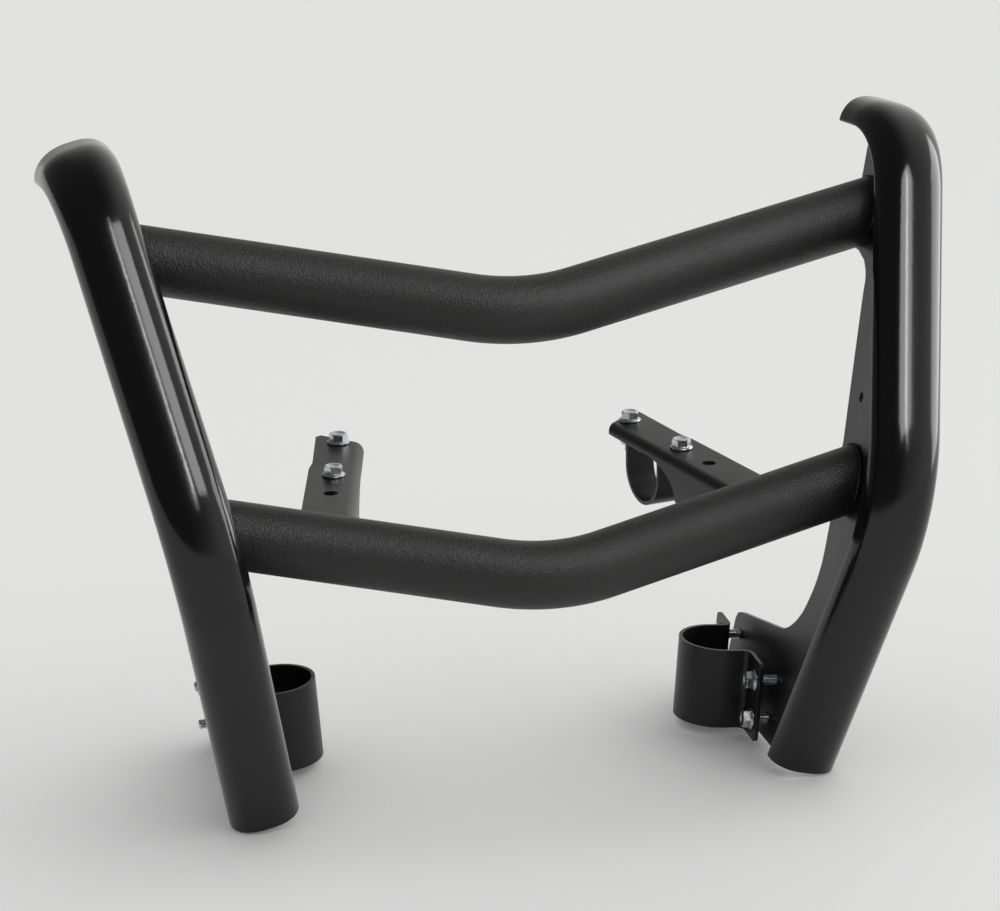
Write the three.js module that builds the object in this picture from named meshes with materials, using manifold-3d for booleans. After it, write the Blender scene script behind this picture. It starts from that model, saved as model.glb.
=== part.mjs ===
// Front grille guard for a pickup. Millimetres, +Z up, +Y towards the vehicle, +X to the guard's right side as
// seen from in front. The origin lies midway between the two bumper brackets, on the axis of the tube they grip.
// Two bowed crossbars are welded between two side plates, each plate carries a D-section upright, two brackets on
// the lower bar and two clamps at the plates' feet hold the guard on the vehicle.
import * as THREE from 'three';
import { mergeVertices } from 'three/addons/utils/BufferGeometryUtils.js';
import Module from 'manifold-3d';

const wasm = await Module();
wasm.setup();

// ---- driving dimensions -------------------------------------------------------------------------------------
const weldGap = 0.3;               // space left between pieces that are welded or touching
const barDiameter = 50.8;          // 2 inch tube
const barWall = 3;
const bendRadius = 152.4;          // centre-line radius of the bow, three diameters
const bowBack = 0.224;             // how far a bar half runs rearward for each unit outward
const bowUp = 0.168;               // and how far it runs upward
const upperBarApex = [0, 87.8, 179.6];   // from the lower bar's apex, where both straight halves would meet

const splay = 11.86;               // uprights lean outward going up, degrees
const plateToe = 2;                // side plates stand this much farther apart going rearward, degrees
const uprightOffset = 250.5;       // middle of an upright from the centre plane, level with the lower bar's apex
const uprightWidth = 54.5;
const uprightDepth = 23;
const uprightWall = 3;
const uprightFullness = [0.78, 1];  // of the D sideways and forward: 1 is an ellipse, less is squarer
const footPoint = [63.8, -193];    // rear edge of an upright's bottom end, rearward and up along the upright
const footLean = -20.1;            // heading there, degrees from straight up, positive is rearward
const footCut = 11;                // the bottom end is cut this much flatter than square, degrees
const lowerLeg = 202;
const kneeRadius = 110;
const kneeTurn = 53.2;
const upperLeg = 193;
const hoodRadius = 78;
const hoodTurn = 61;
const hoodLip = 31;
const hoodFlare = 1.16;            // width of the hood's lip, times the upright's width
const hoodSkew = 0.14;             // how much fuller the lip is on its inner side

const plateThickness = 5;
const plateInset = 15;             // inner face of a side plate from the middle of its upright
const earRim = 5.5;                // plate left round a crossbar's end for the weld

const boltDiameter = 8;
const holeClearance = 0.6;         // on the radius, in plates and straps
const threadClearance = 0.3;       // on the radius, in nuts
const hexAcross = 13;
const flangeDiameter = 18;
const headHeight = 8;
const nutHeight = 8;
const boltEnd = 6;                 // thread standing out of a tightened nut

const strapThickness = 3;
const strapBend = 5;               // inside radius where a strap turns into its ears
const earBeyondBolt = 12;

const footTube = 58;               // vehicle tube held by a lower clamp
const footClampHeight = 66;
const footClampPlace = [171, -164];   // middle of the bolt holes in the plate, rearward and up
const footClampTilt = 7.7;         // the tube stands steeper than the plate, degrees
const footClampDepth = 50.5;       // from the ears' outer side to the far side of the strap
const footBoltSpread = 110;
const footBoltPitch = 33;
const footBoltLength = 40;
const footEarGap = { left: 4.8, right: 11.5 };    // ear to plate, what is left to tighten
const footNutOff = { left: 13, right: 0 };    // the left nuts are not run down yet

const bracketHole = [148.2, 102.8];   // spare hole of the right bracket, outward and rearward of the bar's apex
const bracketToe = 12.7;           // brackets point inward going rearward, degrees
const bracketTop = 48;             // above the lower bar's apex
const bracketThickness = 4;
const bracketWidth = 40;
const bracketReach = 144;          // from the spare hole to the rear end
const bracketFlange = 34;          // depth of the down-turned inner edge at the bar
const spareHoleDiameter = 11;
const bracketBoltStart = 44;       // spare hole to the front bolt
const bracketBoltSpread = 86;
const bracketTube = 48;
const bracketStrapWidth = 24;
const bracketEarGap = 4;

const originShift = [0, -187.2, -14.2];   // from the lower bar's apex to the mount between the brackets

// ---- helpers ------------------------------------------------------------------------------------------------
const rad = THREE.MathUtils.degToRad;
const V = (x, y, z) => new THREE.Vector3(x, y, z);

function signedVolume(g) {
  const p = g.attributes.position, i = g.index.array;
  const a = V(), b = V(), c = V();
  let sum = 0;
  for (let k = 0; k < i.length; k += 3) {
    a.fromBufferAttribute(p, i[k]); b.fromBufferAttribute(p, i[k + 1]); c.fromBufferAttribute(p, i[k + 2]);
    sum += a.dot(b.cross(c)) / 6;
  }
  return sum;
}

function faceOut(g) {
  if (signedVolume(g) < 0) {
    const i = g.index.array;
    for (let k = 0; k < i.length; k += 3) [i[k], i[k + 1]] = [i[k + 1], i[k]];
  }
  return g;
}

// A body between two matching nets of points. ring closes each row on itself, as for a tube.
function skin(outer, inner, ring) {
  const n = outer.length, m = outer[0].length, idx = [];
  const o = (i, j) => i * m + (j % m), q = (i, j) => n * m + i * m + (j % m);
  const quad = (a, b, c, d) => idx.push(a, b, c, a, c, d);
  const last = ring ? m : m - 1;
  for (let i = 0; i < n - 1; i++) {
    for (let j = 0; j < last; j++) {
      quad(o(i, j), o(i, j + 1), o(i + 1, j + 1), o(i + 1, j));
      quad(q(i, j), q(i + 1, j), q(i + 1, j + 1), q(i, j + 1));
    }
    if (!ring) {
      quad(o(i, 0), o(i + 1, 0), q(i + 1, 0), q(i, 0));
      quad(o(i, m - 1), q(i, m - 1), q(i + 1, m - 1), o(i + 1, m - 1));
    }
  }
  for (let j = 0; j < last; j++) {
    quad(o(0, j), q(0, j), q(0, j + 1), o(0, j + 1));
    quad(o(n - 1, j), o(n - 1, j + 1), q(n - 1, j + 1), q(n - 1, j));
  }
  const g = new THREE.BufferGeometry();
  const flat = [...outer, ...inner].flat().flatMap((p) => [p.x, p.y, p.z]);
  g.setAttribute('position', new THREE.Float32BufferAttribute(flat, 3));
  g.setIndex(idx);
  return faceOut(g);
}

// Follows straight legs and arcs in a plane. Heading 0 is along the second axis, positive turns to the first.
function walk(start, heading, legs) {
  let [x, y] = start, h = rad(heading);
  const out = [{ x, y, h }];
  for (const leg of legs) {
    if (leg.straight) {
      x += leg.straight * Math.sin(h); y += leg.straight * Math.cos(h);
      out.push({ x, y, h });
      continue;
    }
    const turn = rad(leg.turn), side = Math.sign(turn), r = leg.radius, h0 = h;
    const cx = x + side * r * Math.cos(h), cy = y - side * r * Math.sin(h);
    for (let k = 1; k <= leg.steps; k++) {
      h = h0 + (turn * k) / leg.steps;
      x = cx - side * r * Math.cos(h); y = cy + side * r * Math.sin(h);
      out.push({ x, y, h });
    }
  }
  return out;
}

// Points beside a walked path, to the left of the way it runs.
const beside = (path, d) => path.map((s) => [s.x - d * Math.cos(s.h), s.y + d * Math.sin(s.h)]);

function solid(g) {
  const bare = g.clone();
  bare.deleteAttribute('normal'); bare.deleteAttribute('uv');
  const m = mergeVertices(bare, 1e-4);
  const mesh = new wasm.Mesh({
    numProp: 3, vertProperties: new Float32Array(m.attributes.position.array),
    triVerts: new Uint32Array(m.index.array),
  });
  return new wasm.Manifold(mesh);
}

function geometryOf(man) {
  const m = man.getMesh();
  const g = new THREE.BufferGeometry();
  g.setAttribute('position', new THREE.Float32BufferAttribute(Array.from(m.vertProperties), 3));
  g.setIndex(Array.from(m.triVerts));
  return g;
}

function joined(parts, cuts = []) {
  let body = solid(parts[0]);
  for (const p of parts.slice(1)) body = body.add(solid(p));
  for (const c of cuts) body = body.subtract(solid(c));
  return geometryOf(body);
}

const along = (a, b, c, origin) => new THREE.Matrix4().makeBasis(a, b, c).setPosition(origin);

// A cylinder or cone from z0 to z1 on the local Z axis, n sides.
function rod(r0, r1, z0, z1, n = 16, x = 0, y = 0) {
  const g = new THREE.CylinderGeometry(r1, r0, z1 - z0, n);
  return g.rotateX(Math.PI / 2).translate(x, y, (z0 + z1) / 2);
}

// A round hole as a many-sided outline, drawn against the way of the outline it is cut in.
function roundHole(x, y, r, n = 16) {
  return new THREE.Path([...Array(n).keys()].map((k) => {
    const a = (-2 * Math.PI * k) / n;
    return new THREE.Vector2(x + r * Math.cos(a), y + r * Math.sin(a));
  }));
}

function mirrored(g) {
  const m = g.clone();
  m.deleteAttribute('normal'); m.deleteAttribute('uv');
  return faceOut(mergeVertices(m.applyMatrix4(new THREE.Matrix4().makeScale(-1, 1, 1)), 1e-4));
}

// ---- fasteners, seat on local z = 0 -------------------------------------------------------------------------
const hexR = hexAcross / Math.sqrt(3);
function bolt(grip) {
  const length = grip + nutHeight + boltEnd;
  const head = rod(hexR, hexR, 1, headHeight, 6);
  const flange = rod(flangeDiameter / 2, hexR * 0.98, 0, 3, 16);
  const shank = rod(boltDiameter / 2, boltDiameter / 2, -length, 1, 12);
  return joined([flange, head, shank]);
}
function nut() {
  const bore = boltDiameter / 2 + threadClearance;
  const body = rod(hexR, hexR, -nutHeight, -1, 6);
  const flange = rod(hexR * 0.98, flangeDiameter / 2, -3, 0, 16);
  return joined([flange, body], [rod(bore, bore, -nutHeight - 1, 1, 12)]);
}

// ---- crossbars ----------------------------------------------------------------------------------------------
const sinS = Math.sin(rad(splay)), cosS = Math.cos(rad(splay));
const sinT = Math.sin(rad(plateToe)), cosT = Math.cos(rad(plateToe));
const plateOut = V(cosS * cosT, -sinT, -sinS * cosT), plateUp = V(sinS, 0, cosS);
const back = plateUp.clone().cross(plateOut);
const plateOrigin = V(uprightOffset, 0, 0);
const inPlate = (y, v, off) => plateOrigin.clone().addScaledVector(back, y)
  .addScaledVector(plateUp, v).addScaledVector(plateOut, off);

const bow = Math.hypot(bowBack, bowUp);
const bowSide = V(0, bowBack / bow, bowUp / bow);      // the way the bow opens
const barHalfAngle = Math.atan(bow);
const barOut = V(Math.cos(barHalfAngle), 0, 0).addScaledVector(bowSide, Math.sin(barHalfAngle));

function crossbar(apex) {
  const sides = 24, arcSteps = 8;
  const centre = V(...apex).addScaledVector(bowSide, bendRadius / Math.cos(barHalfAngle));
  const stops = [];
  for (let k = 0; k <= arcSteps; k++) {
    const a = barHalfAngle * (2 * k / arcSteps - 1);
    const out = V(Math.sin(a), 0, 0).addScaledVector(bowSide, -Math.cos(a));
    const dir = V(Math.cos(a), 0, 0).addScaledVector(bowSide, Math.sin(a));
    stops.push({ p: centre.clone().addScaledVector(out, bendRadius), dir });
  }
  const across = V(1, 0, 0).cross(bowSide);
  const plane = plateOut.dot(inPlate(0, 0, -plateInset - weldGap));
  const rows = (r) => {
    const list = [];
    const ring = ({ p, dir }) => [...Array(sides).keys()].map((k) => {
      const t = (2 * Math.PI * k) / sides, side = across.clone().cross(dir).normalize();
      return p.clone().addScaledVector(side, r * Math.cos(t)).addScaledVector(across, r * Math.sin(t));
    });
    const slide = (pts, dir) => pts.map((q) => {
      const s = Math.sign(dir.x), n = V(s * plateOut.x, plateOut.y, plateOut.z);
      return q.clone().addScaledVector(dir, (plane - n.dot(q)) / n.dot(dir));
    });
    const first = stops[0], end = stops[stops.length - 1];
    list.push(slide(ring(first), first.dir.clone().negate()));
    for (const s of stops) list.push(ring(s));
    list.push(slide(ring(end), end.dir));
    return list;
  };
  return skin(rows(barDiameter / 2), rows(barDiameter / 2 - barWall), true);
}

// ---- uprights and side plates -------------------------------------------------------------------------------
const uprightPath = walk(footPoint, footLean, [
  { straight: lowerLeg }, { turn: kneeTurn, radius: kneeRadius, steps: 10 },
  { straight: upperLeg }, { turn: hoodTurn, radius: hoodRadius, steps: 10 }, { straight: hoodLip },
]);
const power = (v, e) => Math.sign(v) * Math.abs(v) ** e;
function upright() {
  const steps = 16;
  const hood = uprightPath.findIndex((s) => s.h > rad(footLean + kneeTurn) + 0.01), last = uprightPath.length - 1;
  const curl = (i) => Math.max(0, (i - hood + 1) / (last - hood + 1)) ** 1.2;
  const flare = (i) => 1 + (hoodFlare - 1) * curl(i);
  const rows = (half, deep) => uprightPath.map((s, i) => [...Array(steps + 1).keys()].map((k) => {
    const t = (Math.PI * k) / steps;
    const off = flare(i) * half * power(Math.cos(t), uprightFullness[0]);
    const full = 1 - hoodSkew * curl(i) * Math.cos(t);
    const fwd = k % steps ? deep * full * Math.sin(t) ** uprightFullness[1] : 0;
    const h = s.h + (i ? 0 : rad(footCut));
    return inPlate(s.x - fwd * Math.cos(h), s.y + fwd * Math.sin(h), off);
  }));
  const w = uprightWidth / 2;
  return skin(rows(w, uprightDepth), rows(w - uprightWall, uprightDepth - uprightWall), false);
}

// Depth of the hollow inside an upright, as far from its middle as the plate's inner face.
const hollowHalf = uprightWidth / 2 - uprightWall;
const hollowAt = (uprightDepth - uprightWall)
  * (1 - (plateInset / hollowHalf) ** (2 / uprightFullness[0])) ** (uprightFullness[1] / 2);

// Where a crossbar's axis meets the side plate, in the plate's own two directions.
function barEnd(apex) {
  const p = V(...apex), n = plateOut, plane = n.dot(inPlate(0, 0, -plateInset));
  p.addScaledVector(barOut, (plane - n.dot(p)) / n.dot(barOut)).sub(plateOrigin);
  return [p.dot(back), p.dot(plateUp)];
}

const footBolts = [-1, 1].flatMap((i) => [-1, 1].map((j) =>
  [footClampPlace[0] + (i * footBoltSpread) / 2, footClampPlace[1] + (j * footBoltPitch) / 2]));

function sidePlate() {
  const front = beside(uprightPath.slice(0, -1), hollowAt - 2 * weldGap);
  front[0][1] += 2;
  const [uy, uv] = barEnd(upperBarApex), [ly, lv] = barEnd([0, 0, 0]);
  const r = barDiameter / 2 + earRim;
  const arc = (cy, cv, from, to, n) => [...Array(n + 1).keys()].map((k) => {
    const a = rad(from + ((to - from) * k) / n);
    return [cy + r * Math.cos(a), cv + r * Math.sin(a)];
  });
  const top = uprightPath[uprightPath.length - 2];
  const [cy, cv] = footClampPlace;
  const rear = [
    [top.x - 1, top.y - 3], [uy + 25, uv + 27], ...arc(uy, uv, 38, -98, 10),
    [uy - 22, uv - 35], [uy - 33, uv - 45], [uy - 38, uv - 65], [uy - 53, uv - 121],
    [ly + 31, lv + 22], ...arc(ly, lv, 12, -30, 4), [ly + 20, lv - 42], [ly + 17.5, lv - 70],
    [ly + 20, lv - 88], [ly + 25, lv - 102], [ly + 34, lv - 119], [ly + 46, lv - 132], [ly + 60, lv - 142],
    [ly + 74, lv - 148], [cy + 62, cv + 33], [cy + 69, cv + 30], [cy + 72, cv + 24],
    [cy + 72, cv - 26], [cy + 69, cv - 33], [cy + 62, cv - 36], [cy - 74, cv - 32],
  ];
  const shape = new THREE.Shape([...front, ...rear].reverse().map(([y, v]) => new THREE.Vector2(y, v)));
  const drill = (y, v, rr) => shape.holes.push(roundHole(y, v, rr));
  for (const [y, v] of footBolts) drill(y, v, boltDiameter / 2 + holeClearance);
  drill(ly + 14, lv + 62, 4);
  const g = new THREE.ExtrudeGeometry(shape, { depth: plateThickness, bevelEnabled: false, curveSegments: 16 });
  return g.applyMatrix4(along(back, plateUp, plateOut, inPlate(0, 0, -plateInset)));
}

// ---- straps -------------------------------------------------------------------------------------------------
// A hat-shaped strap: ears on local z = 0 with the hump down to -drop, running along local Y for its width.
function strap(tube, spread, width, drop, holes) {
  const t = strapThickness, rt = tube / 2 + t / 2 + 0.4, rb = strapBend + t / 2;
  const half = spread / 2 + earBeyondBolt, flat = half - rt - rb, side = drop - rt - rb - t / 2;
  const path = walk([-half, -t / 2], 90, [
    { straight: flat }, { turn: 90, radius: rb, steps: 4 }, { straight: side },
    { turn: -180, radius: rt, steps: 14 },
    { straight: side }, { turn: 90, radius: rb, steps: 4 }, { straight: flat },
  ]);
  const rows = (d) => [-width / 2, width / 2].map((y) => beside(path, d).map(([x, z]) => V(x, y, z)));
  const body = skin(rows(t / 2), rows(-t / 2), false);
  const r = boltDiameter / 2 + holeClearance;
  return joined([body], holes.map(([x, y]) => rod(r, r, -t - 2, 2, 12, x, y)));
}

// A foot clamp's own directions: its ears and bolts lean from the plate by the tilt.
const tiltSin = Math.sin(rad(footClampTilt)), tiltCos = Math.cos(rad(footClampTilt));
const clampUp = plateUp.clone().multiplyScalar(tiltCos).addScaledVector(plateOut, -tiltSin);
const clampOut = plateOut.clone().multiplyScalar(tiltCos).addScaledVector(plateUp, tiltSin);

// Middle of the ears' outer side, low enough for the bolts to meet the middle of the holes in the plate.
const clampMiddle = (gap) => inPlate(footClampPlace[0],
  footClampPlace[1] - (gap + plateThickness / 2) * (tiltSin / tiltCos), -plateInset - gap);

const footHoles = [-1, 1].flatMap((i) => [-1, 1].map((j) =>
  [(i * footBoltSpread) / 2, (j * footBoltPitch * tiltCos) / 2]));
function footStrap(side) {
  const frame = along(back, clampUp, clampOut, clampMiddle(footEarGap[side]));
  return strap(footTube, footBoltSpread, footClampHeight, footClampDepth, footHoles).applyMatrix4(frame);
}

// ---- bumper brackets ----------------------------------------------------------------------------------------
const toe = rad(bracketToe);
const bracketBack = V(-Math.sin(toe), Math.cos(toe), 0), bracketOut = V(Math.cos(toe), Math.sin(toe), 0);
const up = V(0, 0, 1);
const bracketAt = (x, y, z) => V(bracketHole[0], bracketHole[1], z)
  .addScaledVector(bracketOut, x).addScaledVector(bracketBack, y);
const bracketBolts = [0, 1].map((k) => [0, bracketBoltStart + k * bracketBoltSpread]);

function bracket() {
  const w = bracketWidth / 2, t = bracketThickness, frontEnd = -60;
  const plan = new THREE.Shape([[-w, frontEnd], [w, frontEnd], [w, 62], [w - 2, 78], [w - 1, bracketReach + 4],
    [w - 5, bracketReach + 8], [-w, bracketReach - 14]].map(([x, y]) => new THREE.Vector2(x, y)));
  for (const [x, y, r] of [[0, 0, spareHoleDiameter / 2],
    ...bracketBolts.map(([bx, by]) => [bx, by, boltDiameter / 2 + holeClearance])]) {
    plan.holes.push(roundHole(x, y, r));
  }
  const plate = new THREE.ExtrudeGeometry(plan, { depth: t, bevelEnabled: false, curveSegments: 14 })
    .applyMatrix4(along(bracketOut, bracketBack, up, bracketAt(0, 0, bracketTop - t)));
  const edge = [[frontEnd, 0], [bracketReach - 14, 0], [bracketReach - 14, -t - 1], [74, -t - 3]];
  for (let k = 0; k <= 8; k++) {
    const a = rad(90 * (1 - k / 8));
    edge.push([70 - 52 * Math.cos(a), -bracketFlange + (bracketFlange - t - 4) * Math.sin(a)]);
  }
  edge.push([frontEnd, -bracketFlange]);
  const side = new THREE.Shape(edge.map(([y, z]) => new THREE.Vector2(y, z)));
  const flange = new THREE.ExtrudeGeometry(side, { depth: t, bevelEnabled: false })
    .applyMatrix4(along(bracketBack, up, bracketOut, bracketAt(-w, 0, bracketTop)));
  const r = barDiameter / 2 + weldGap;
  const barLine = new THREE.CylinderGeometry(r, r, 500, 36).rotateZ(-Math.PI / 2)
    .applyMatrix4(along(barOut, bowSide.clone().multiplyScalar(Math.cos(barHalfAngle))
      .addScaledVector(V(1, 0, 0), -Math.sin(barHalfAngle)), V(1, 0, 0).cross(bowSide), V(0, 0, 0)
      .addScaledVector(barOut, 250)));
  const noseOff = new THREE.BoxGeometry(200, 100, 200)
    .applyMatrix4(along(bracketOut, bracketBack, up, bracketAt(0, frontEnd - 38, 0)));
  return joined([plate, flange], [barLine, noseOff]);
}

const bracketUnder = bracketTop - bracketThickness;
const bracketMid = bracketBoltStart + bracketBoltSpread / 2;
const bracketFrame = along(bracketBack, bracketOut.clone().negate(), up,
  bracketAt(0, bracketMid, bracketUnder - bracketEarGap));
function bracketStrap() {
  const drop = bracketTube - bracketEarGap + strapThickness;
  const holes = [-1, 1].map((i) => [(i * bracketBoltSpread) / 2, 0]);
  return strap(bracketTube, bracketBoltSpread, bracketStrapWidth, drop, holes).applyMatrix4(bracketFrame);
}

// ---- assembly -----------------------------------------------------------------------------------------------
const group = new THREE.Group();
const finishes = {
  wrinkle: ['crossbar powder coat', 0x2a2b2b, 0.9], gloss: ['upright powder coat', 0x17181a, 0.35],
  satin: ['plate powder coat', 0x1c1d1f, 0.55], zinc: ['zinc plated steel', 0xb9bcc0, 0.3],
};
function place(name, finish, geometry) {
  const [label, color, roughness] = finishes[finish];
  const material = new THREE.MeshStandardMaterial({ color, roughness, metalness: finish === 'zinc' ? 1 : 0 });
  material.name = `${name} ${label}`;
  const mesh = new THREE.Mesh(geometry.translate(...originShift), material);
  mesh.name = name;
  group.add(mesh);
}
function pair(name, finish, build) {
  place(`left_${name}`, finish, mirrored(build('left')));
  place(`right_${name}`, finish, build('right'));
}

place('upper_crossbar', 'wrinkle', crossbar(upperBarApex));
place('lower_crossbar', 'wrinkle', crossbar([0, 0, 0]));
pair('upright', 'gloss', upright);
pair('side_plate', 'satin', sidePlate);
pair('foot_clamp_strap', 'satin', footStrap);
pair('bumper_bracket', 'satin', bracket);
pair('bracket_strap', 'satin', bracketStrap);

// Foot clamp bolts go in from the ears, and their nuts bear on the plate's outer face by one edge.
const nutSeat = plateThickness + weldGap + (flangeDiameter / 2) * tiltSin;
footHoles.forEach(([y, v], k) => {
  const spot = ['front_lower', 'front_upper', 'rear_lower', 'rear_upper'][k];
  const onBolt = (side, reach) => along(clampUp, back, clampOut.clone().negate(),
    clampMiddle(footEarGap[side]).addScaledVector(back, y).addScaledVector(clampUp, v)
      .addScaledVector(clampOut, reach));
  pair(`foot_bolt_${spot}`, 'zinc', (side) => bolt(footBoltLength - nutHeight - boltEnd)
    .applyMatrix4(onBolt(side, -strapThickness - weldGap)));
  pair(`foot_nut_${spot}`, 'zinc', (side) => nut().applyMatrix4(onBolt(side,
    (footEarGap[side] + nutSeat + v * tiltSin) / tiltCos + footNutOff[side])));
});

// Bracket bolts drop in from above, and their nuts hold the strap's ears from below.
const bracketGrip = bracketThickness + bracketEarGap + strapThickness;
bracketBolts.forEach(([x, y], k) => {
  const spot = ['front', 'rear'][k];
  const head = along(bracketOut, bracketBack, up, bracketAt(x, y, bracketTop + weldGap));
  pair(`bracket_bolt_${spot}`, 'zinc', () => bolt(bracketGrip + weldGap * 2).applyMatrix4(head));
  const under = bracketUnder - bracketEarGap - strapThickness - weldGap;
  pair(`bracket_nut_${spot}`, 'zinc',
    () => nut().applyMatrix4(along(bracketOut, bracketBack, up, bracketAt(x, y, under))));
});

export default group;
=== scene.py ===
# %% [markdown]
# # Front grille guard
# A guard that bolts to the front of a pickup: two bowed tubes between two D-section uprights. Everything is
# worked in millimetres from the lower bar's apex, and one matrix puts it in the CAD frame, in metres.

import math

import bmesh
import bpy
from mathutils import Matrix, Vector


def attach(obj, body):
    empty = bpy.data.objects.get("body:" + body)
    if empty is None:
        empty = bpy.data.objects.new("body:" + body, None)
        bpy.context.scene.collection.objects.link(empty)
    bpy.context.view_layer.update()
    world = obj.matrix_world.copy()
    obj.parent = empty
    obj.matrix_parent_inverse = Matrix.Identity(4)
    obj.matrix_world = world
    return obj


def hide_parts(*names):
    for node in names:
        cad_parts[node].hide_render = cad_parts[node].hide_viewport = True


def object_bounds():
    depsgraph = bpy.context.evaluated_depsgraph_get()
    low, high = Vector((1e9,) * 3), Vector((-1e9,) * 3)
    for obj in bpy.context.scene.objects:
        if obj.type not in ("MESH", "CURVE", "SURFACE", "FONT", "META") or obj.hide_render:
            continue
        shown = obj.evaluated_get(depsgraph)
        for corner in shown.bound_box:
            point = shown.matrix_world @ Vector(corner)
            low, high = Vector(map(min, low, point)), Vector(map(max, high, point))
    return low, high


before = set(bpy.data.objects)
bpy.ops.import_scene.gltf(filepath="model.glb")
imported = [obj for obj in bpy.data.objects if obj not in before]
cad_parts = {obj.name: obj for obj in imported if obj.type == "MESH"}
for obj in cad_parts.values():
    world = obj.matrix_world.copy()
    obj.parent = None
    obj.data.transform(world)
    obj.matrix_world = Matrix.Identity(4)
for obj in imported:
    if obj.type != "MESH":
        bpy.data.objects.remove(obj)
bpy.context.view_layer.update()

ORIGIN_SHIFT = Vector((0, -187.2, -14.2))
TO_METRES = Matrix.Scale(0.001, 4) @ Matrix.Translation(ORIGIN_SHIFT)
MIRROR = Matrix.Diagonal((-1, 1, 1, 1))

# %% [markdown]
# The sizes are the ones the CAD was built with, so every visible piece lies where its CAD node lies. They
# could be measured off the loaded meshes, but a named value also says what it is for.

# %% Sizes
BAR_R, BAR_WALL, BEND_R = 25.4, 3.0, 152.4
BOW = Vector((0, 0.224, 0.168))
UPPER_APEX, LOWER_APEX = Vector((0, 87.8, 179.6)), Vector((0, 0, 0))
SPLAY, TOE, UPRIGHT_X = math.radians(11.86), math.radians(2), 250.5
UPRIGHT_W, UPRIGHT_D, UPRIGHT_T, FULL_SIDE, FULL_FRONT = 54.5, 23.0, 3.0, 0.78, 1.0
FOOT, FOOT_LEAN, FOOT_CUT = (63.8, -193.0), -20.1, 11.0
HOOD_LIP, HOOD_FLARE, HOOD_SKEW = 31, 1.16, 0.14
PLATE_T, PLATE_INSET, EAR_RIM = 5.0, 15.0, 5.5
STRAP_T, EAR_BEYOND, STRAP_BEND, STRAP_CORNER, TUBE_CLEARANCE = 3.0, 12.0, 5.0, 6.0, 0.4
FOOT_CLAMP = dict(tube=58.0, spread=110.0, width=66.0, drop=50.5)
FOOT_PLACE, BOLT_PITCH, TILT = (171.0, -164.0), 33.0, math.radians(7.7)
EAR_GAP, NUT_OFF = {"left": 4.8, "right": 11.5}, {"left": 13.0, "right": 0.0}
BOLT_R, BOLT_HOLE_R, SPARE_HOLE_R, PLATE_HOLE_R = 4.0, 4.6, 5.5, 4.0
HOLE_AT, TOE_IN = Vector((148.2, 102.8, 0)), math.radians(12.7)
BRACKET_TOP, BRACKET_T, BRACKET_W = 48.0, 4.0, 40.0
BOLT_START, BRACKET_GAP = 44.0, 4.0
BRACKET_REACH, BRACKET_FRONT, BRACKET_FOLD = 144.0, -60.0, 3.5
FLANGE_DEPTH, ARCH_START, ARCH_LENGTH = 34.0, 70.0, 52.0
BRACKET_CLAMP = dict(tube=48.0, spread=86.0, width=24.0, drop=47.0)

SIN_S, COS_S, SIN_T, COS_T = math.sin(SPLAY), math.cos(SPLAY), math.sin(TOE), math.cos(TOE)
P_OUT = Vector((COS_S * COS_T, -SIN_T, -SIN_S * COS_T))
P_UP = Vector((SIN_S, 0, COS_S))
P_BACK = P_UP.cross(P_OUT)
P_ORIGIN = Vector((UPRIGHT_X, 0, 0))


def in_plate(y, v, off):
    return P_ORIGIN + P_BACK * y + P_UP * v + P_OUT * off


def basis(a, b, c, origin):
    m = Matrix.Identity(4)
    for k, axis in enumerate((a, b, c)):
        m.col[k][:3] = axis
    m.col[3][:3] = origin
    return m


# %% [markdown]
# Colour comes in as sRGB hex and goes to the shaders linear. One function adds a node and wires it.

# %% Material tools
def linear(hex_colour):
    out = []
    for k in (1, 3, 5):
        c = int(hex_colour[k : k + 2], 16) / 255
        out.append(c / 12.92 if c <= 0.04045 else ((c + 0.055) / 1.055) ** 2.4)
    return (*out, 1.0)


def add(tree, kind, inputs=None, **settings):
    node = tree.nodes.new("ShaderNode" + kind)
    for key, value in settings.items():
        setattr(node, key, value)
    for key, value in (inputs or {}).items():
        if isinstance(value, bpy.types.NodeSocket):
            tree.links.new(value, node.inputs[key])
        else:
            node.inputs[key].default_value = value
    return node


def finish_material(name, **shader):
    mat = bpy.data.materials.new(name)
    mat.use_nodes = True
    tree = mat.node_tree
    tree.nodes.clear()
    surface = add(tree, "BsdfPrincipled", shader)
    out = add(tree, "OutputMaterial", {"Surface": surface.outputs[0]})
    return mat, tree, surface, add(tree, "TexCoord").outputs["Object"]


def wire(tree, socket, target):
    tree.links.new(socket, target)


# %% [markdown]
# The crossbars wear a wrinkle powder coat: in the oven the powder gels into fine ridges, which break the
# highlight into a soft sheen. A scan of a coat could be laid on, but it would repeat, so two noises make the
# ridges and a slow one makes the sheen uneven. Real ridges lie about half a millimetre apart and would not
# show, so they are drawn about 1.6 mm apart, over lumps about 5 mm across.

# %% Wrinkle powder coat
RIDGES_PER_METRE, LUMPS_PER_METRE = 620.0, 210.0


def patchy_sheen(tree, surface, place, per_metre, low, high, **noise):
    """Roughness that drifts between two values, in so many patches to the metre."""
    patches = add(tree, "TexNoise", {"Vector": place, "Scale": per_metre, **noise})
    drift = {"Value": patches.outputs[0], "From Min": 0.3, "From Max": 0.7, "To Min": low, "To Max": high}
    wire(tree, add(tree, "MapRange", drift).outputs[0], surface.inputs["Roughness"])


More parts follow.
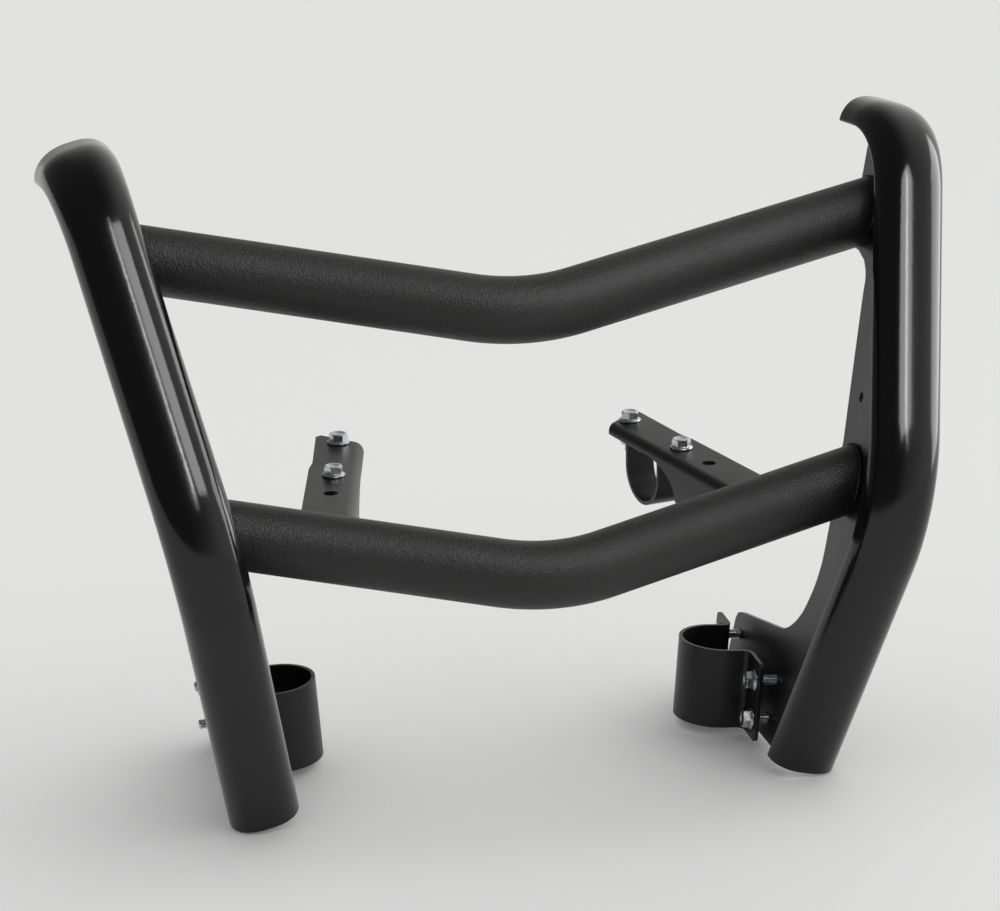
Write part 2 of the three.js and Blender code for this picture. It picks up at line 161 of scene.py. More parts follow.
def wrinkle_coat():
    mat, tree, surface, place = finish_material(
        "wrinkle_powder_coat_oven_cured", **{"Base Color": linear("#191918"), "IOR": 1.5}
    )
    fine = {"Vector": place, "Scale": RIDGES_PER_METRE, "Detail": 3.0, "Roughness": 0.6}
    ridges = add(tree, "TexNoise", fine)
    coarse = {"Vector": place, "Scale": LUMPS_PER_METRE, "Detail": 2.0, "Roughness": 0.5}
    lumps = add(tree, "TexNoise", coarse)
    both = add(tree, "MixRGB", {"Fac": 0.35, "Color1": ridges.outputs[0], "Color2": lumps.outputs[0]})
    bump = add(tree, "Bump", {"Height": both.outputs[0], "Strength": 0.9, "Distance": 0.0012})
    wire(tree, bump.outputs[0], surface.inputs["Normal"])
    patchy_sheen(tree, surface, place, 14.0, 0.42, 0.52, Detail=3.0)
    return mat


# %% [markdown]
# Uprights and plates wear a smooth black powder coat over pressed and laser-cut steel. It flows out almost
# like paint, but keeps a faint orange peel about three millimetres across and is a little duller in patches.
# One recipe makes both the semi-gloss and the satin, since they differ only in tone, sheen and peel.

# %% Smooth powder coats
PEEL_PER_METRE = 330.0


def smooth_coat(name, colour, low, high, peel):
    mat, tree, surface, place = finish_material(name, **{"Base Color": linear(colour), "IOR": 1.45})
    skin = add(tree, "TexNoise", {"Vector": place, "Scale": PEEL_PER_METRE, "Detail": 2.0})
    bump = add(tree, "Bump", {"Height": skin.outputs[0], "Strength": peel, "Distance": 0.0004})
    wire(tree, bump.outputs[0], surface.inputs["Normal"])
    patchy_sheen(tree, surface, place, 9.0, low, high, Detail=4.0, Roughness=0.6)
    return mat


# %% [markdown]
# The fasteners are bright zinc over cold-headed steel: a clear, slightly blue metal. Its crystals are too
# fine to show, so the grain is drawn about a millimetre wide, with clouds of 6 mm in its sheen.

# %% Zinc plate
GRAIN_PER_METRE = 900.0


def zinc_plate():
    mat, tree, surface, place = finish_material(
        "bright_zinc_electroplate", **{"Base Color": linear("#c9ccd0"), "Metallic": 1.0}
    )
    grain = add(tree, "TexNoise", {"Vector": place, "Scale": GRAIN_PER_METRE, "Detail": 3.0})
    bump = add(tree, "Bump", {"Height": grain.outputs[0], "Strength": 0.12, "Distance": 0.0002})
    wire(tree, bump.outputs[0], surface.inputs["Normal"])
    patchy_sheen(tree, surface, place, 160.0, 0.2, 0.34, Detail=2.0)
    return mat


MATS = {
    "wrinkle_black": wrinkle_coat(),
    "gloss_black": smooth_coat("semi_gloss_powder_coat_on_pressed_steel", "#0a0a0a", 0.12, 0.17, 0.1),
    "satin_black": smooth_coat("satin_powder_coat_on_cut_steel", "#0d0d0d", 0.36, 0.46, 0.22),
    "zinc": zinc_plate(),
}
print("materials", sorted(MATS))


# %% [markdown]
# Every piece ends the same way: welded clean, moved to the CAD frame, given its finish, its body and the CAD
# node it stands for. Sheet pieces are modelled as their middle surface and thickened, as the real ones are
# pressed from sheet.

# %% Piece tools
def piece(name, bm, slot, body, nodes, mirror=False, thickness=0.0, edge=0.5, sharp=35.0):
    bmesh.ops.remove_doubles(bm, verts=bm.verts, dist=1e-4)
    bm.transform(TO_METRES @ (MIRROR if mirror else Matrix.Identity(4)))
    bmesh.ops.recalc_face_normals(bm, faces=bm.faces)
    if thickness == 0.0 and bm.calc_volume(signed=True) < 0:
        bmesh.ops.reverse_faces(bm, faces=bm.faces)
    mesh = bpy.data.meshes.new(name)
    bm.to_mesh(mesh)
    bm.free()
    mesh.shade_smooth()
    if thickness == 0.0:
        mesh.set_sharp_from_angle(angle=math.radians(sharp))
    mesh.materials.append(MATS[slot])
    obj = bpy.data.objects.new(name, mesh)
    bpy.context.scene.collection.objects.link(obj)
    if thickness:
        wall = obj.modifiers.new("sheet", "SOLIDIFY")
        wall.thickness, wall.offset, wall.use_even_offset = thickness / 1000, 0.0, True
    if edge:
        soft = obj.modifiers.new("broken edge", "BEVEL")
        soft.width, soft.segments, soft.limit_method = edge / 1000, 2, "ANGLE"
        soft.angle_limit, soft.harden_normals = math.radians(sharp), True
    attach(obj, body)
    if nodes:
        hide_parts(*nodes)
    return obj


def both_sides(name, build, slot, body, nodes, **more):
    """Builds the right-hand shape for each side and mirrors the left one."""
    for side in ("left", "right"):
        stands_for = [node.format(side=side) for node in nodes]
        made = piece(f"{side}_{name}", build(side), slot, body.format(side=side), stands_for,
                     mirror=side == "left", **more)
    print(name, len(made.data.polygons), "faces a side")


def loft(rows, closed):
    """Draws the first row as edges and extrudes it from row to row."""
    bm = bmesh.new()
    verts = [bm.verts.new(p) for p in rows[0]]
    edges = [bm.edges.new(pair) for pair in zip(verts, verts[1:] + (verts[:1] if closed else []))]
    for row in rows[1:]:
        got = bmesh.ops.extrude_edge_only(bm, edges=edges)["geom"]
        edges = [g for g in got if isinstance(g, bmesh.types.BMEdge)]
        fresh = [g for g in got if isinstance(g, bmesh.types.BMVert)]
        link = {}
        for v in fresh:
            for e in v.link_edges:
                other = e.other_vert(v)
                if other in verts:
                    link[verts.index(other)] = v
        verts = [link[k] for k in range(len(row))]
        for v, p in zip(verts, row):
            v.co = p
        chosen = set(fresh)
        edges = [e for e in edges if e.verts[0] in chosen and e.verts[1] in chosen]
    return bm


def walk(start, heading, legs):
    """Points and headings along straights and arcs. Heading 0 runs along the second axis, and a positive
    turn is towards the first."""
    x, y = start
    h = math.radians(heading)
    out = [(x, y, h)]
    for turn, size, steps in legs:
        if not turn:
            for _ in range(steps):
                x, y = x + size / steps * math.sin(h), y + size / steps * math.cos(h)
                out.append((x, y, h))
            continue
        side = math.copysign(1, turn)
        cx, cy, h0 = x + side * size * math.cos(h), y - side * size * math.sin(h), h
        for k in range(1, steps + 1):
            h = h0 + math.radians(turn) * k / steps
            x, y = cx - side * size * math.cos(h), cy + side * size * math.sin(h)
            out.append((x, y, h))
    return out


def beside(path, d):
    return [(x - d * math.cos(h), y + d * math.sin(h)) for x, y, h in path]


# %% [markdown]
# ## Crossbars
# Each is one length of two-inch tube, bent once in the middle over a three-diameter former, with its ends cut
# to the splay of the side plates. A bevelled curve could make it, but its ends would stay square. So a ring
# is swept through the bend, and its two end rings are slid along the tube until they meet the plates.

# %% Crossbars
bow = BOW.length
BOW_DIR = BOW / bow
HALF = math.atan(bow)
BAR_OUT = Vector((math.cos(HALF), 0, 0)) + BOW_DIR * math.sin(HALF)
END_PLANE = P_OUT.dot(in_plate(0, 0, -PLATE_INSET - 0.3))


def bar_rows(apex, radius, sides=96, arc=32):
    centre = apex + BOW_DIR * BEND_R / math.cos(HALF)
    across = Vector((1, 0, 0)).cross(BOW_DIR)
    rows, stops = [], []
    for k in range(arc + 1):
        a = HALF * (2 * k / arc - 1)
        out = Vector((math.sin(a), 0, 0)) - BOW_DIR * math.cos(a)
        stops.append((centre + out * BEND_R, Vector((math.cos(a), 0, 0)) + BOW_DIR * math.sin(a)))
    for p, run in stops:
        side = across.cross(run)
        turn = [2 * math.pi * k / sides for k in range(sides)]
        rows.append([p + side * radius * math.cos(t) + across * radius * math.sin(t) for t in turn])

    def slid(row, run):
        n = Vector((math.copysign(P_OUT.x, run.x), P_OUT.y, P_OUT.z))
        return [q + run * ((END_PLANE - n.dot(q)) / n.dot(run)) for q in row]

    return [slid(rows[0], -stops[0][1])] + rows + [slid(rows[-1], stops[-1][1])]


for name, apex in (("upper_crossbar", UPPER_APEX), ("lower_crossbar", LOWER_APEX)):
    tube = loft(bar_rows(apex, BAR_R - BAR_WALL / 2), True)
    made = piece(f"{name}_tube", tube, "wrinkle_black", "guard", [name], thickness=BAR_WALL, edge=0.6)
    print(made.name, len(made.data.polygons), "faces")

# %% [markdown]
# ## Uprights
# A D-shaped shell pressed from 3 mm sheet. Its knee stands furthest forward: from there it leans back both
# ways, and on top it curls rearward into a flared hood. A bent solid would need hollowing out, so the
# half-round middle line is extruded along that path instead, and the sheet gets its thickness last.

# %% Uprights
KNEE_TURN = 53.2
UPRIGHT_LEGS = [(0, 202, 8), (KNEE_TURN, 110, 28), (0, 193, 8), (61, 78, 28), (0, HOOD_LIP, 6)]
UPRIGHT_PATH = walk(FOOT, FOOT_LEAN, UPRIGHT_LEGS)


def curl_at(index):
    start = next(k for k, s in enumerate(UPRIGHT_PATH) if s[2] > math.radians(FOOT_LEAN + KNEE_TURN) + 0.01)
    last = len(UPRIGHT_PATH) - 1
    return max(0, (index - start + 1) / (last - start + 1)) ** 1.2


def upright(_side, steps=48):
    half, deep = UPRIGHT_W / 2 - UPRIGHT_T / 2, UPRIGHT_D - UPRIGHT_T / 2
    rows = []
    for i, (y, v, h) in enumerate(UPRIGHT_PATH):
        row = []
        curl, flare = curl_at(i), 1 + (HOOD_FLARE - 1) * curl_at(i)
        h += math.radians(FOOT_CUT) * max(0.0, 1 - i / 2)
        for k in range(steps + 1):
            t = math.pi * k / steps
            off = math.copysign(abs(math.cos(t)) ** FULL_SIDE, math.cos(t)) * half * flare
            full = deep * (1 - HOOD_SKEW * curl * math.cos(t))
            fwd = full * abs(math.sin(t)) ** FULL_FRONT if 0 < k < steps else 0.0
            row.append(in_plate(y - fwd * math.cos(h), v + fwd * math.sin(h), off))
        rows.append(row)
    return loft(rows, False)


both_sides("upright_shell", upright, "gloss_black", "guard", ["{side}_upright"],
           thickness=UPRIGHT_T, edge=0.8, sharp=50)


# %% [markdown]
# ## Side plates
# Laser-cut from 5 mm plate. The front edge follows the inside of the upright, the ears go round the bar ends
# and the tab at the foot carries the clamp. Holes could be cut with a boolean, but an outline that is filled
# together with its holes keeps clean flat faces. It is then thickened and its edges are broken.

# %% Side plates
def bar_end(apex):
    plane = P_OUT.dot(in_plate(0, 0, -PLATE_INSET))
    p = apex + BAR_OUT * ((plane - P_OUT.dot(apex)) / P_OUT.dot(BAR_OUT)) - P_ORIGIN
    return p.dot(P_BACK), p.dot(P_UP)


def ring_points(x, y, r, start=0.0, end=360.0, n=40):
    turn = [math.radians(start + (end - start) * k / n) for k in range(n if end - start == 360 else n + 1)]
    return [(x + r * math.cos(a), y + r * math.sin(a)) for a in turn]


def cut_sheet(outline, holes, thickness, place, cuts=()):
    """A flat blank between z 0 and the thickness, or left as a sheet when the thickness is 0."""
    bm = bmesh.new()
    for loop in [outline, *holes]:
        verts = [bm.verts.new((x, y, 0)) for x, y in loop]
        for a, b in zip(verts, verts[1:] + verts[:1]):
            bm.edges.new((a, b))
    bmesh.ops.triangle_fill(bm, use_beauty=True, use_dissolve=False, edges=bm.edges[:])
    for x in cuts:
        every = bm.verts[:] + bm.edges[:] + bm.faces[:]
        bmesh.ops.bisect_plane(bm, geom=every, plane_co=(x, 0, 0), plane_no=(1, 0, 0))
    if thickness:
        got = bmesh.ops.extrude_face_region(bm, geom=bm.faces[:], use_keep_orig=True)["geom"]
        lifted = [g for g in got if isinstance(g, bmesh.types.BMVert)]
        bmesh.ops.translate(bm, verts=lifted, vec=(0, 0, thickness))
    if place:
        bm.transform(place)
    return bm


FOOT_BOLTS = {
    f"{'front' if i < 0 else 'rear'}_{'lower' if j < 0 else 'upper'}": (
        FOOT_PLACE[0] + i * FOOT_CLAMP["spread"] / 2, FOOT_PLACE[1] + j * BOLT_PITCH / 2)
    for i in (-1, 1) for j in (-1, 1)
}
HOLLOW = (UPRIGHT_D - UPRIGHT_T) * (
    1 - (PLATE_INSET / (UPRIGHT_W / 2 - UPRIGHT_T)) ** (2 / FULL_SIDE)) ** (FULL_FRONT / 2)


def rounded(points, radius, steps=5):
    """The same outline with each sharp corner turned into a small arc."""
    out, n = [], len(points)
    for k in range(n):
        p, q, r = (Vector(points[(k + d) % n]) for d in (-1, 0, 1))
        a, b = (p - q).normalized(), (r - q).normalized()
        bend = math.pi - a.angle(b)
        if bend < 0.2:
            out.append(tuple(q))
            continue
        reach = min(radius * math.tan(bend / 2), 0.45 * (p - q).length, 0.45 * (r - q).length)
        for s in range(steps + 1):
            t = s / steps
            out.append(tuple((q + a * reach) * (1 - t) ** 2 + 2 * q * t * (1 - t) + (q + b * reach) * t * t))
    return out


def side_plate(_side):
    front = beside(UPRIGHT_PATH[:-6], HOLLOW - 0.6)
    front[0] = (front[0][0], front[0][1] + 2)
    (uy, uv), (ly, lv), (cy, cv) = bar_end(UPPER_APEX), bar_end(LOWER_APEX), FOOT_PLACE
    r = BAR_R + EAR_RIM
    top = UPRIGHT_PATH[-7]
    rear = [(top[0] - 1, top[1] - 3), (uy + 25, uv + 27)]
    ear = ring_points(uy, uv, r, 38, -98, 24)
    low_ear = ring_points(ly, lv, r, 12, -30, 8)
    waist = [(uy - 22, uv - 35), (uy - 33, uv - 45), (uy - 38, uv - 65), (uy - 53, uv - 121),
             (ly + 31, lv + 22)]
    sweep = [(20, -42), (17.5, -70), (20, -88), (25, -102), (34, -119), (46, -132), (60, -142), (74, -148)]
    tab = [(62, 33), (69, 30), (72, 24), (72, -26), (69, -33), (62, -36), (-74, -32)]
    outline = (
        rear + ear + rounded_run(waist) + low_ear + rounded_run([(ly + a, lv + b) for a, b in sweep])
        + [(cy + a, cv + b) for a, b in tab]
    )
    holes = [ring_points(y, v, BOLT_HOLE_R, n=28) for y, v in FOOT_BOLTS.values()]
    holes.append(ring_points(ly + 14, lv + 62, PLATE_HOLE_R, n=28))
    place = basis(P_BACK, P_UP, P_OUT, in_plate(0, 0, -PLATE_INSET))
    return cut_sheet(front + outline, holes, PLATE_T, place)


def rounded_run(points, per=4):
    """A smooth curve through the points, for the drawn-out parts of the outline."""
    out = []
    p = [Vector(q) for q in [points[0], *points, points[-1]]]
    for a, b, c, d in zip(p, p[1:], p[2:], p[3:]):
        for k in range(per):
            t = k / per
            out.append(tuple(0.5 * (2 * b + (c - a) * t + (2 * a - 5 * b + 4 * c - d) * t * t
                                    + (3 * b - a - 3 * c + d) * t ** 3)))
    return out + [tuple(p[-1])]


both_sides("side_plate_cut", side_plate, "satin_black", "guard", ["{side}_side_plate"], edge=0.6)


# %% [markdown]
# ## Straps
# Each clamp strap is a punched flat blank bent into a hat over a tube-sized former. A curve modifier would
# stretch the holes, so the blank is filled with its bolt holes, cut at the bend lines, and every point is
# carried along the bent path, as the steel is.

# %% Straps
def strap(tube, spread, width, drop, pitches):
    t = STRAP_T
    rt, rb = tube / 2 + t / 2 + TUBE_CLEARANCE, STRAP_BEND + t / 2
    half = spread / 2 + EAR_BEYOND
    flat, side = half - rt - rb, drop - rt - rb - t / 2
    legs = [(0, flat, 3), (90, rb, 8), (0, side, 2), (-180, rt, 36), (0, side, 2), (90, rb, 8), (0, flat, 3)]
    path = walk((-half, -t / 2), 90, legs)
    stops = [0.0]
    for a, b in zip(path, path[1:]):
        stops.append(stops[-1] + math.dist(a[:2], b[:2]))
    length, w = stops[-1], width / 2
    hole_s = [half - spread / 2, length - (half - spread / 2)]
    holes = [ring_points(s, y, BOLT_HOLE_R, n=28) for s in hole_s for y in pitches]
    outline = rounded([(0, -w), (length, -w), (length, w), (0, w)], STRAP_CORNER)
    blank = cut_sheet(outline, holes, 0, None, stops[1:-1])
    for v in blank.verts:
        k = max(0, min(len(stops) - 2, sum(s <= v.co.x + 1e-6 for s in stops) - 1))
        f = (v.co.x - stops[k]) / (stops[k + 1] - stops[k])
        a, b = path[k], path[k + 1]
        v.co = (a[0] + (b[0] - a[0]) * f, v.co.y, a[1] + (b[1] - a[1]) * f)
    return blank


CLAMP_UP = P_UP * math.cos(TILT) - P_OUT * math.sin(TILT)
CLAMP_OUT = P_OUT * math.cos(TILT) + P_UP * math.sin(TILT)


def on_clamp(side, y=0.0, v=0.0, reach=0.0):
    """A point measured from the middle of a foot clamp's ears, along its own three directions."""
    gap = EAR_GAP[side]
    middle = in_plate(FOOT_PLACE[0], FOOT_PLACE[1] - (gap + PLATE_T / 2) * math.tan(TILT), -PLATE_INSET - gap)
    return middle + P_BACK * y + CLAMP_UP * v + CLAMP_OUT * reach


def foot_strap(side):
    pitch = BOLT_PITCH * math.cos(TILT) / 2
    bm = strap(**FOOT_CLAMP, pitches=(-pitch, pitch))
    bm.transform(basis(P_BACK, CLAMP_UP, CLAMP_OUT, on_clamp(side)))
    return bm


both_sides("foot_clamp_hat", foot_strap, "satin_black", "{side}_foot_clamp", ["{side}_foot_clamp_strap"],
           thickness=STRAP_T, edge=0.6, sharp=50)

B_BACK = Vector((-math.sin(TOE_IN), math.cos(TOE_IN), 0))
B_OUT = Vector((math.cos(TOE_IN), math.sin(TOE_IN), 0))
UP = Vector((0, 0, 1))


def bracket_at(x, y, z):
    return Vector((HOLE_AT.x, HOLE_AT.y, z)) + B_OUT * x + B_BACK * y


UNDER = BRACKET_TOP - BRACKET_T
BRACKET_BOLTS = {"front": BOLT_START, "rear": BOLT_START + BRACKET_CLAMP["spread"]}


def bracket_strap(_side):
    bm = strap(**BRACKET_CLAMP, pitches=(0.0,))
    middle = BOLT_START + BRACKET_CLAMP["spread"] / 2
    bm.transform(basis(B_BACK, -B_OUT, UP, bracket_at(0, middle, UNDER - BRACKET_GAP)))
    return bm


both_sides("bracket_hat", bracket_strap, "satin_black", "{side}_bracket_clamp", ["{side}_bracket_strap"],
           thickness=STRAP_T, edge=0.6, sharp=50)


# %% [markdown]
# ## Bumper brackets
# A 4 mm plate with its inner edge folded down. The fold is deepest where it is welded to the lower bar, and
# is cut away in a round arch to clear the tube behind. Two joined plates would miss the round of the fold, so
# the blank is drawn flat, bent at the fold line and thickened.

# %% Bumper brackets
def bracket(_side):
    w, t, reach, front = BRACKET_W / 2, BRACKET_T, BRACKET_REACH, BRACKET_FRONT
    mid = t / 2
    rm = BRACKET_FOLD + mid
    inner = -w + mid
    spend = rm * math.pi / 2
    top_end = inner + rm

    def flat(depth):
        """Across position in the blank of a point that ends this far below the plate's middle surface."""
        return top_end - spend - max(0.0, depth - rm)

    deep, arch = FLANGE_DEPTH - mid, []
    for step in range(0, 91, 6):
        a = math.radians(step)
        rise = (FLANGE_DEPTH - t - 4) * math.cos(a)
        arch.append((flat(deep - rise), ARCH_START - ARCH_LENGTH * math.sin(a)))
    outer = [(w, front), (w, 62), (w - 2, 78), (w - 1, reach + 4), (w - 5, reach + 8)]
    folded = [(inner + 4, reach - 12), (flat(t + 2), reach - 16), (flat(t + 3), 76)]
    outline = outer + folded + arch + [(flat(deep), front)]
    holes = [ring_points(0, 0, SPARE_HOLE_R, n=36)]
    holes += [ring_points(0, y, BOLT_HOLE_R, n=28) for y in BRACKET_BOLTS.values()]
    cuts = [top_end - spend * k / 8 for k in range(9)]
    bm = cut_sheet(outline, holes, 0, None, cuts)
    for v in bm.verts:
        x, y = v.co.x, v.co.y
        s = top_end - x
        if s <= 0:
            place = (x, 0.0)
        elif s < spend:
            a = s / rm
            place = (top_end - rm * math.sin(a), -rm * (1 - math.cos(a)))
        else:
            place = (inner, -rm - (s - spend))
        v.co = (place[0], y, place[1])
    bm.transform(basis(B_OUT, B_BACK, UP, bracket_at(0, 0, BRACKET_TOP - mid)))
    return bm


both_sides("bumper_bracket_folded", bracket, "satin_black", "guard", ["{side}_bumper_bracket"],
           thickness=BRACKET_T, edge=0.6, sharp=50)


# %% [markdown]
# ## Fasteners
# M8 flange bolts and flange nuts, 13 mm across the flats. The head is cold-headed, so its flats end in a
# turned chamfer and its top has a shallow dish. The shank carries plain rings in place of the thread's helix:
# they read the same at this size and cost far fewer faces.

# %% Fasteners
ACROSS_FLATS, THREAD_PITCH, NUT_BORE = 13.0, 1.25, 4.3
HEX_R = ACROSS_FLATS / math.sqrt(3)
FLANGE = [(8.7, 0.0), (9.0, 0.35), (9.0, 1.1), (8.7, 1.45), (6.7, 2.6)]


def turned(profile, sides=40):
    """A solid of revolution about z from (radius, height) pairs that start and end on the axis or close."""
    bm = bmesh.new()
    verts = [bm.verts.new((r, 0, z)) for r, z in profile]
    loop = profile[0][0] > 1e-6
    edges = [bm.edges.new(p) for p in zip(verts, verts[1:] + (verts[:1] if loop else []))]
    bmesh.ops.spin(bm, geom=verts + edges, cent=(0, 0, 0), axis=(0, 0, 1), dvec=(0, 0, 0), angle=2 * math.pi,
                   steps=sides, use_merge=True, use_duplicate=False)
    bmesh.ops.remove_doubles(bm, verts=bm.verts, dist=1e-4)
    return bm


def merged(*parts):
    out = bmesh.new()
    for part in parts:
        mesh = bpy.data.meshes.new("part")
        part.to_mesh(mesh)
        part.free()
        out.from_mesh(mesh)
        bpy.data.meshes.remove(mesh)
    return out


def hexagon(z0, z1, chamfer, dish, bore=0.0):
    """Six flats whose corners are turned down to a round at the top, as a head or nut is chamfered."""
    sides, in_r = 72, ACROSS_FLATS / 2
    rows = []
    for z, cap in ((z0, 99.0), (z1 - chamfer, 99.0), (z1, in_r - 0.25)):
        row = []
        for k in range(sides):
            a = 2 * math.pi * k / sides
            local = (a + math.pi / 6) % (math.pi / 3) - math.pi / 6
            r = min(in_r / math.cos(local), cap)
            row.append(Vector((r * math.cos(a), r * math.sin(a), z)))
        if z == z1 - chamfer:
            for p in row:
                p.z = z1 - chamfer * max(0.05, (math.hypot(p.x, p.y) - in_r) / (HEX_R - in_r))
        rows.append(row)
    if bore:
        for z in (z1, z0):
            rows.append([Vector((p.x, p.y, 0)).normalized() * bore + Vector((0, 0, z)) for p in rows[0]])
        rows.append(rows[0])
    else:
        rows.append([p * 0.72 + Vector((0, 0, z1 * 0.28)) for p in rows[2]])
        rows.append([Vector((p.x * 0.6, p.y * 0.6, z1 - dish)) for p in rows[2]])
    bm = loft(rows, True)
    if not bore:
        bmesh.ops.holes_fill(bm, edges=[e for e in bm.edges if e.is_boundary], sides=0)
    return bm


def thread(z0, z1, r, pitch=THREAD_PITCH):
    """Rings of thread from z0 down to z1, ending in a chamfer."""
    out, z = [(0, z0), (r, z0)], z0 - 0.4
    while z > z1 + 1.6:
        out += [(r, z), (r - 0.62, z - pitch * 0.45), (r - 0.62, z - pitch * 0.55)]
        z -= pitch
    return out + [(r, z), (r - 0.9, z1), (0, z1)]


def bolt(length):
    flange = turned([(0, 0.0), *FLANGE, (6.0, 3.0), (0, 3.0)])
    return merged(flange, hexagon(1.2, 8.0, 1.1, 0.5), turned(thread(0.5, -length, BOLT_R), 28))


def nut():
    flange = turned([(NUT_BORE, 0.0), *[(r, -z) for r, z in FLANGE], (NUT_BORE, -3.0)])
    body = hexagon(1.2, 8.0, 0.8, 0.0, bore=NUT_BORE)
    body.transform(Matrix.Diagonal((1, 1, -1, 1)))
    return merged(flange, body)


def seated(make, place, spin):
    def build(side):
        bm = make()
        bm.transform(place(side) @ Matrix.Rotation(math.radians(spin), 4, "Z"))
        return bm

    return build


SEAT_GAP, FOOT_BOLT_LENGTH, BEYOND_GRIP, FLANGE_R = 0.3, 40.0, 14.0, 9.0
HALF_PITCH, NUT_SEAT = BOLT_PITCH * math.cos(TILT) / 2, PLATE_T + SEAT_GAP + FLANGE_R * math.sin(TILT)
for k, spot in enumerate(FOOT_BOLTS):
    y = FOOT_CLAMP["spread"] / 2 * (-1 if k < 2 else 1)
    v = HALF_PITCH * (-1 if k % 2 == 0 else 1)

    def head(side):
        return basis(CLAMP_UP, P_BACK, -CLAMP_OUT, on_clamp(side, y, v, -STRAP_T - SEAT_GAP))

    def seat(side):
        reach = (EAR_GAP[side] + NUT_SEAT + v * math.sin(TILT)) / math.cos(TILT) + NUT_OFF[side]
        return basis(CLAMP_UP, P_BACK, -CLAMP_OUT, on_clamp(side, y, v, reach))

    both_sides(f"foot_flange_bolt_{spot}", seated(lambda: bolt(FOOT_BOLT_LENGTH), head, 17 * k + 8), "zinc",
               "{side}_foot_clamp", ["{side}_foot_bolt_" + spot], edge=0.0)
    both_sides(f"foot_flange_nut_{spot}", seated(nut, seat, 11 * k + 5), "zinc", "guard",
               ["{side}_foot_nut_" + spot], edge=0.0)
for k, (spot, y) in enumerate(BRACKET_BOLTS.items()):
    length = BRACKET_T + BRACKET_GAP + STRAP_T + 2 * SEAT_GAP + BEYOND_GRIP

    def head(_side):
        return basis(B_OUT, B_BACK, UP, bracket_at(0, y, BRACKET_TOP + SEAT_GAP))

    def seat(_side):
        return basis(B_OUT, B_BACK, UP, bracket_at(0, y, UNDER - BRACKET_GAP - STRAP_T - SEAT_GAP))

    both_sides(f"bracket_flange_bolt_{spot}", seated(lambda: bolt(length), head, 21 * k + 9), "zinc",
               "guard", ["{side}_bracket_bolt_" + spot], edge=0.0)
    both_sides(f"bracket_flange_nut_{spot}", seated(nut, seat, 13 * k), "zinc", "{side}_bracket_clamp",
               ["{side}_bracket_nut_" + spot], edge=0.0)
print("fasteners made")


# %% [markdown]
# ## Welds
# The bar ends are welded all round to the side plates, under the same black coat. A hand-laid bead is a row
# of overlapping ripples. A plain torus would look moulded, so the ring's thickness rises and falls a little.

# %% Welds
def bead(apex, sign=1, size=3.4):
    cy, cv = bar_end(apex)
    n, sides, rows = 220, 10, []
    for k in range(n):
        a = 2 * math.pi * k / n
        wave = 1 + 0.13 * math.sin(a * 38) + 0.05 * math.sin(a * 7 + 1)
        r = BAR_R + 0.6
        y, v = cy + r * math.cos(a), cv + r * math.sin(a)
        row = []
        for j in range(sides):
            b = 2 * math.pi * j / sides
            lift, out = size * wave * (0.5 + 0.5 * math.sin(b)), size * 0.62 * wave * math.cos(b)
            row.append(in_plate(y + out * math.cos(a), v + out * math.sin(a), -PLATE_INSET - lift + 0.2))
        rows.append(row)
    rows.append(rows[0])
    return loft(rows, True)


for label, apex in (("upper", UPPER_APEX), ("lower", LOWER_APEX)):
    both_sides(f"{label}_bar_weld", lambda _side: bead(apex), "satin_black", "guard", [], edge=0.0, sharp=60)
print("welds made")

# %% [markdown]
# ## Studio
# A plain pale floor under the guard, soft light, and a camera in front and to one side. The world is bright
# to the right and dark to the left, which edges the uprights. Long cards draw the streaks down them, a square
# one gives the bars their sheen, and a wide soft fill lights the floor without showing in the coats. The
# Standard view keeps the black coats and the pale floor apart, where the default one would grey them both.

# %% Floor and world
low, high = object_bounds()
floor_mesh = bpy.data.meshes.new("floor")
floor_bm = bmesh.new()
bmesh.ops.create_grid(floor_bm, x_segments=1, y_segments=1, size=30)
bmesh.ops.translate(floor_bm, verts=floor_bm.verts, vec=(0, 0, low[2] - 0.001))
floor_bm.to_mesh(floor_mesh)
floor_bm.free()
floor = bpy.data.objects.new("studio_floor", floor_mesh)
bpy.context.scene.collection.objects.link(floor)
paper, _, _, _ = finish_material("matte_studio_paper", **{"Base Color": linear("#f2f2f2"), "Roughness": 0.9})
floor_mesh.materials.append(paper)

world = bpy.data.worlds.new("studio")
world.use_nodes = True
bpy.context.scene.world = world
sky_tree = world.node_tree
sky = sky_tree.nodes["Background"]
way = add(sky_tree, "TexCoord").outputs["Generated"]
lean = add(sky_tree, "VectorMath", {0: way, 1: (0.9, 0.15, -0.3)}, operation="DOT_PRODUCT")
fade = {"Value": lean.outputs["Value"], "From Min": -0.35, "From Max": 0.55, "To Min": 0.12, "To Max": 1.0}
room = add(sky_tree, "MapRange", fade, interpolation_type="SMOOTHSTEP")
wire(sky_tree, room.outputs[0], sky.inputs["Strength"])
sky.inputs["Color"].default_value = linear("#f4f4f2")


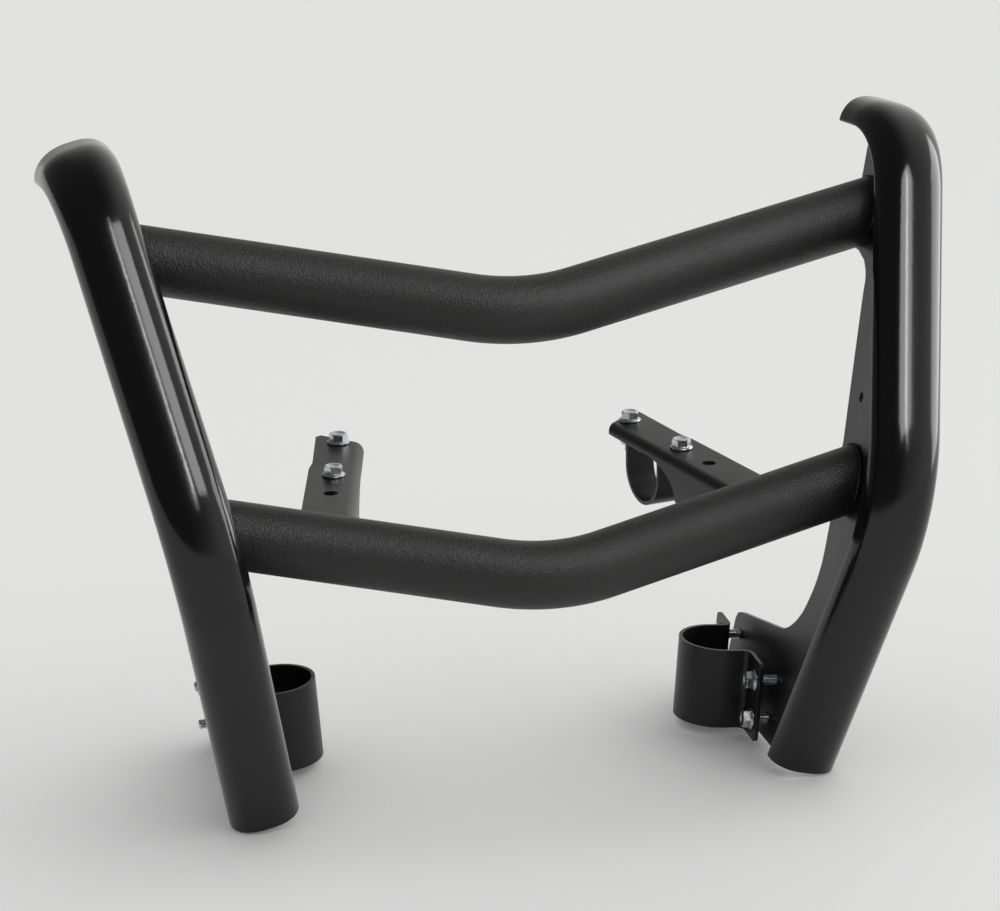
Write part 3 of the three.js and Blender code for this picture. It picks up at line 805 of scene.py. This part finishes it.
# %% Lights and camera
def card(name, at, aim, size, power, spread=180):
    """A lit card that only shows as a reflection, so it draws a highlight and leaves the floor alone."""
    light = bpy.data.lights.new(name, "AREA")
    light.shape, light.size, light.size_y, light.energy = "RECTANGLE", size[0], size[1], power
    obj = bpy.data.objects.new(name, light)
    bpy.context.scene.collection.objects.link(obj)
    obj.location = at
    obj.rotation_euler = (Vector(aim) - Vector(at)).to_track_quat("-Z", "Y").to_euler()
    obj.visible_diffuse, obj.visible_camera, light.spread = False, False, math.radians(spread)


card("left_streak_card", (-0.21, -0.74, 0.77), (-0.3, -0.12, 0.1), (0.06, 0.8), 0.13, spread=40)
card("right_streak_card", (0.45, -0.69, 0.77), (0.3, -0.12, 0.1), (0.06, 0.8), 0.12, spread=40)
card("bar_card", (0.5, -1.2, 1.6), (0, -0.1, 0), (0.9, 0.9), 17.0)
card("right_card", (2.2, 0.2, 0.6), (0.3, -0.1, 0.05), (1.6, 1.6), 34)
ceiling = bpy.data.lights.new("ceiling_fill", "SUN")
ceiling.energy, ceiling.angle = 1.65, math.radians(120)
hung = bpy.data.objects.new("ceiling_fill", ceiling)
bpy.context.scene.collection.objects.link(hung)
hung.visible_glossy = False
bpy.context.scene.view_settings.view_transform = "Standard"

FILM_WIDTH, FOCAL_RATIO = 36.0, 3.091
cam = bpy.data.cameras.new("front_camera")
cam.lens, cam.sensor_width = FOCAL_RATIO * FILM_WIDTH, FILM_WIDTH
cam.clip_end = 200
eye = bpy.data.objects.new("front_camera", cam)
bpy.context.scene.collection.objects.link(eye)
CAMERA_AT = Vector((-515.8, -2085.1, 759.3))
HEADING, LOOK_DOWN, ROLL = 12.8351, 17.1390, -0.6451
aim = Matrix.Rotation(math.radians(-HEADING), 4, "Z") @ Matrix.Rotation(math.radians(90 - LOOK_DOWN), 4, "X")
place = Matrix.Translation(TO_METRES @ CAMERA_AT)
eye.matrix_world = place @ aim @ Matrix.Rotation(math.radians(ROLL), 4, "Z")
bpy.context.scene.camera = eye
print("lights and camera set")
